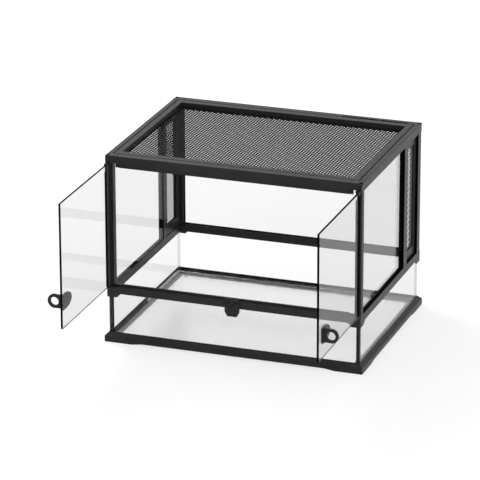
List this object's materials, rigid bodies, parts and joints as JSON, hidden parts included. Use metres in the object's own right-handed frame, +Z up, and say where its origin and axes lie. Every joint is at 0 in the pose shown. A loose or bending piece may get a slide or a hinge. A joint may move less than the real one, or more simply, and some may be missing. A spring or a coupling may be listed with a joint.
{
  "type": "terrarium",
  "caption": "Front-opening glass terrarium with a black knock-down frame, swing doors with ring pulls, side mesh vents, a lift-out screen lid and a push-down latch.",
  "frame": {"origin": "on the floor, below the middle of the box that the tank and its two open doors fill", "axes": "+X to the tank's right seen from the front, +Y from the doors to the rear pane, +Z up"},
  "size_m": [0.6686, 0.7408, 0.4452],
  "materials": {
    "frame_black": "black moulded plastic with a fine satin grain",
    "clear_glass": "clear float glass, ground and darkened at the edges that show",
    "mesh_steel": "fine steel mesh, coated black",
    "sealant_black": "black silicone sealant",
    "pin_steel": "plain steel hinge pin"
  },
  "bodies": {
    "tank": {"base_frame": "frame_black", "waist_front_rail": "frame_black", "waist_rear_rail": "frame_black", "waist_left_rail": "frame_black", "waist_right_rail": "frame_black", "waist_front_left_corner": "frame_black", "waist_front_right_corner": "frame_black", "waist_rear_left_corner": "frame_black", "waist_rear_right_corner": "frame_black", "front_left_post": "frame_black", "front_right_post": "frame_black", "rear_left_post": "frame_black", "rear_right_post": "frame_black", "side_left_post": "frame_black", "side_right_post": "frame_black", "top_front_rail": "frame_black", "top_rear_rail": "frame_black", "top_left_rail": "frame_black", "top_right_rail": "frame_black", "top_front_left_corner": "frame_black", "top_front_right_corner": "frame_black", "top_rear_left_corner": "frame_black", "top_rear_right_corner": "frame_black", "vent_left_frame": "frame_black", "vent_right_frame": "frame_black", "latch_guide": "frame_black", "floor_glass": "clear_glass", "tray_front_glass": "clear_glass", "tray_rear_glass": "clear_glass", "tray_left_glass": "clear_glass", "tray_right_glass": "clear_glass", "rear_glass": "clear_glass", "side_left_glass": "clear_glass", "side_right_glass": "clear_glass", "tray_sealant": "sealant_black", "vent_left_mesh": "mesh_steel", "vent_right_mesh": "mesh_steel", "left_top_pin": "pin_steel", "left_bottom_pin": "pin_steel", "right_top_pin": "pin_steel", "right_bottom_pin": "pin_steel"},
    "left_door": {"left_door_glass": "clear_glass", "left_hinge_strip": "frame_black", "left_handle": "frame_black", "left_handle_pad": "sealant_black"},
    "right_door": {"right_door_glass": "clear_glass", "right_hinge_strip": "frame_black", "right_handle": "frame_black", "right_handle_pad": "sealant_black"},
    "latch": {"latch_key": "frame_black"},
    "lid": {"lid_frame": "frame_black", "lid_mesh": "mesh_steel"}
  },
  "joints": [
    {"name": "left_door_hinge", "type": "hinge", "parent": "tank", "child": "left_door", "pos_m": [-0.29075, -0.0807, 0.28], "axis": [0, 0, 1], "range_deg": [-5, 90]},
    {"name": "right_door_hinge", "type": "hinge", "parent": "tank", "child": "right_door", "pos_m": [0.29075, -0.0807, 0.28], "axis": [0, 0, -1], "range_deg": [-5, 90]},
    {"name": "latch_slide", "type": "slide", "parent": "tank", "child": "latch", "axis": [0, 0, -1], "range_m": [0, 0.0062]},
    {"name": "lid_lift", "type": "slide", "parent": "tank", "child": "lid", "axis": [0, 0, 1], "range_m": [0, 0.08]}
  ]
}
